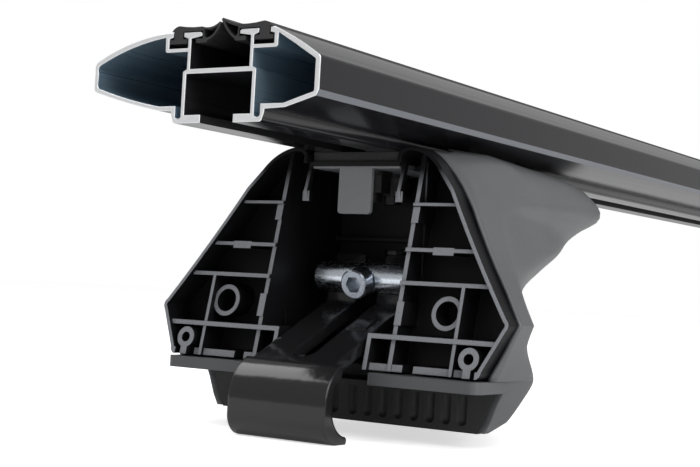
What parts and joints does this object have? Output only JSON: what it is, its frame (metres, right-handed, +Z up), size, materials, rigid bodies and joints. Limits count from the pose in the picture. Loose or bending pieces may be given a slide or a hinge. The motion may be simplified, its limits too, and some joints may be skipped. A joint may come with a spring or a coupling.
{
  "type": "roof rack crossbar",
  "caption": "Aero-profile aluminium roof crossbar with an accessory slot and rubber seals, on two feet that clamp to a car's door frames with hook and screw.",
  "frame": {"origin": "centre of the assembly's bounding box in plan, at the height of the hooks' undersides", "axes": "+X along the bar, +Y towards the trailing edge, +Z up"},
  "size_m": [1.2, 0.1326, 0.1219],
  "materials": {
    "bar_anodised": "black anodised, semi-gloss, bright cut ends",
    "seal_rubber": "matt extruded rubber",
    "core_plastic": "black moulded glass-filled plastic",
    "cowl_plastic": "fine-textured dark grey plastic",
    "plate_plastic": "fine-textured grey plastic",
    "pad_rubber": "soft black rubber",
    "zinc_steel": "zinc plated",
    "bracket_steel": "matt grey phosphated steel",
    "black_steel": "blackened steel",
    "hook_coat": "gloss black coated steel"
  },
  "bodies": {
    "bar": {"crossbar": "bar_anodised", "slot_seal_leading": "seal_rubber", "slot_seal_trailing": "seal_rubber"},
    "near_foot": {"near_core": "core_plastic", "near_cowl": "cowl_plastic", "near_base_plate": "plate_plastic", "near_roof_pad": "pad_rubber", "near_anchor_barrel": "zinc_steel", "near_clamp_bracket": "bracket_steel", "near_saddle_gasket": "pad_rubber", "near_t_bolt_outer": "black_steel", "near_t_bolt_inner": "black_steel", "near_bolt_washers": "black_steel", "near_bolt_nuts": "black_steel", "near_core_screws": "black_steel", "near_cowl_screws": "black_steel"},
    "near_carrier": {"near_cross_dowel": "zinc_steel"},
    "near_screw": {"near_clamp_screw": "black_steel"},
    "near_hook": {"near_door_hook": "hook_coat"},
    "far_foot": {"far_core": "core_plastic", "far_cowl": "cowl_plastic", "far_base_plate": "plate_plastic", "far_roof_pad": "pad_rubber", "far_anchor_barrel": "zinc_steel", "far_clamp_bracket": "bracket_steel", "far_saddle_gasket": "pad_rubber", "far_t_bolt_outer": "black_steel", "far_t_bolt_inner": "black_steel", "far_bolt_washers": "black_steel", "far_bolt_nuts": "black_steel", "far_core_screws": "black_steel", "far_cowl_screws": "black_steel"},
    "far_carrier": {"far_cross_dowel": "zinc_steel"},
    "far_screw": {"far_clamp_screw": "black_steel"},
    "far_hook": {"far_door_hook": "hook_coat"}
  },
  "joints": [
    {"name": "near_foot_slide", "type": "slide", "parent": "bar", "child": "near_foot", "axis": [1, 0, 0], "range_m": [-0.055, 0.25]},
    {"name": "near_clamp_slide", "type": "slide", "parent": "near_foot", "child": "near_carrier", "axis": [0.9613, 0, 0.2756], "range_m": [-0.005, 0.008]},
    {"name": "near_screw_spin", "type": "hinge", "parent": "near_carrier", "child": "near_screw", "pos_m": [-0.5135, 0, 0.0512], "axis": [0.9613, 0, 0.2756], "range_deg": [-1810, 2890]},
    {"name": "near_hook_swing", "type": "hinge", "parent": "near_carrier", "child": "near_hook", "pos_m": [-0.5135, 0, 0.0512], "axis": [0, 1, 0], "range_deg": [-1.5, 18]},
    {"name": "far_foot_slide", "type": "slide", "parent": "bar", "child": "far_foot", "axis": [-1, 0, 0], "range_m": [-0.055, 0.25]},
    {"name": "far_clamp_slide", "type": "slide", "parent": "far_foot", "child": "far_carrier", "axis": [-0.9613, 0, 0.2756], "range_m": [-0.005, 0.008]},
    {"name": "far_screw_spin", "type": "hinge", "parent": "far_carrier", "child": "far_screw", "pos_m": [0.5135, 0, 0.0512], "axis": [-0.9613, 0, 0.2756], "range_deg": [-1810, 2890]},
    {"name": "far_hook_swing", "type": "hinge", "parent": "far_carrier", "child": "far_hook", "pos_m": [0.5135, 0, 0.0512], "axis": [0, -1, 0], "range_deg": [-1.5, 18]}
  ],
  "couplings": [
    {"joint": "near_screw_spin", "follows": "near_clamp_slide", "rad_per_m": 6283.2},
    {"joint": "far_screw_spin", "follows": "far_clamp_slide", "rad_per_m": 6283.2}
  ]
}
